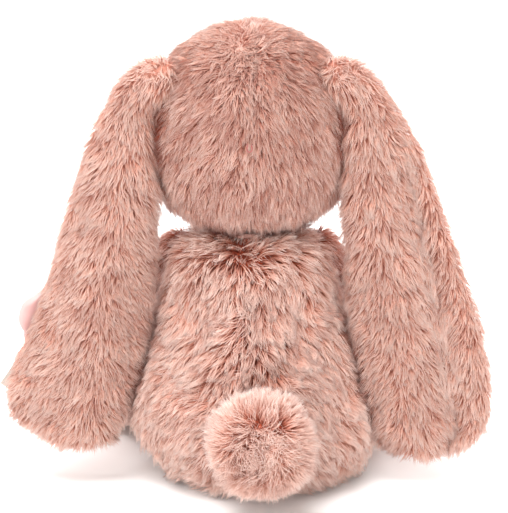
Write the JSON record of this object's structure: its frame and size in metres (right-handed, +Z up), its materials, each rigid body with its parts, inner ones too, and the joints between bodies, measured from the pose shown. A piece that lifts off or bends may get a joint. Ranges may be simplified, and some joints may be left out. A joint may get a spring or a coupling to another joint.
{
  "type": "stuffed bunny rabbit",
  "caption": "Sitting long-pile plush bunny with long hanging ears, soft limbs, a pom-pom tail and a stuffed, sewn body.",
  "frame": {"origin": "middle of the flat seat, on the surface that the toy sits on", "axes": "+Z up, the face looks along -Y, the bunny's left side is +X"},
  "size_m": [0.3124, 0.2321, 0.293],
  "materials": {
    "plush": "long pile",
    "lining": "short smooth velour",
    "fibre": "loose polyester fibre",
    "pouch": "plain cotton",
    "seam_thread": "twisted thread",
    "mouth_thread": "embroidery thread",
    "eye_plastic": "polished",
    "washer_plastic": "matte",
    "nose_plastic": "satin",
    "ribbon": "woven ribbon"
  },
  "bodies": {
    "torso": {"body_front_panel": "plush", "body_back_panel_left": "plush", "body_back_panel_right": "plush", "seat_panel": "plush", "body_stuffing": "fibre", "pellet_pouch": "pouch"},
    "neck": {"neck_stuffing": "fibre", "neck_stitching": "seam_thread"},
    "head": {"face_panel": "plush", "head_back_panel_left": "plush", "head_back_panel_right": "plush", "head_stuffing": "fibre", "eye_left": "eye_plastic", "eye_right": "eye_plastic", "eye_washer_left": "washer_plastic", "eye_washer_right": "washer_plastic", "nose": "nose_plastic", "nose_washer": "washer_plastic", "mouth_stitching": "mouth_thread"},
    "ear_left": {"ear_back_left": "plush", "ear_lining_left": "lining", "care_label": "ribbon"},
    "ear_right": {"ear_back_right": "plush", "ear_lining_right": "lining"},
    "arm_left": {"arm_cover_left": "plush", "arm_stuffing_left": "fibre"},
    "arm_right": {"arm_cover_right": "plush", "arm_stuffing_right": "fibre"},
    "leg_left": {"leg_cover_left": "plush", "leg_stuffing_left": "fibre", "foot_sole_left": "lining"},
    "leg_right": {"leg_cover_right": "plush", "leg_stuffing_right": "fibre", "foot_sole_right": "lining"},
    "tail": {"tail_cover": "plush", "tail_stuffing": "fibre"}
  },
  "joints": [
    {"name": "head_nod", "type": "hinge", "parent": "torso", "child": "neck", "pos_m": [0, -0.004, 0.164], "axis": [1, 0, 0], "range_deg": [-4, 12], "stiffness_Nm_per_rad": 0.8},
    {"name": "head_turn", "type": "hinge", "parent": "neck", "child": "head", "pos_m": [0, -0.004, 0.164], "axis": [0, 0, 1], "range_deg": [-12, 12], "stiffness_Nm_per_rad": 0.3},
    {"name": "ear_left_swing", "type": "hinge", "parent": "head", "child": "ear_left", "pos_m": [0.054, 0.016, 0.264], "axis": [0, -1, 0], "range_deg": [0, 75]},
    {"name": "ear_right_swing", "type": "hinge", "parent": "head", "child": "ear_right", "pos_m": [-0.054, 0.016, 0.264], "axis": [0, 1, 0], "range_deg": [0, 75]},
    {"name": "arm_left_swing", "type": "hinge", "parent": "torso", "child": "arm_left", "pos_m": [0.044, -0.02, 0.144], "axis": [0, -1, 0], "range_deg": [0, 60]},
    {"name": "arm_right_swing", "type": "hinge", "parent": "torso", "child": "arm_right", "pos_m": [-0.044, -0.02, 0.144], "axis": [0, 1, 0], "range_deg": [0, 60]},
    {"name": "leg_left_lift", "type": "hinge", "parent": "torso", "child": "leg_left", "pos_m": [0.048, -0.036, 0.032], "axis": [-0.7071, -0.7071, 0], "range_deg": [0, 17]},
    {"name": "leg_right_lift", "type": "hinge", "parent": "torso", "child": "leg_right", "pos_m": [-0.048, -0.036, 0.032], "axis": [-0.7071, 0.7071, 0], "range_deg": [0, 17]},
    {"name": "tail_wag", "type": "hinge", "parent": "torso", "child": "tail", "pos_m": [-0.007, 0.054, 0.053], "axis": [0, 0, 1], "range_deg": [-12, 12], "stiffness_Nm_per_rad": 0.05}
  ]
}
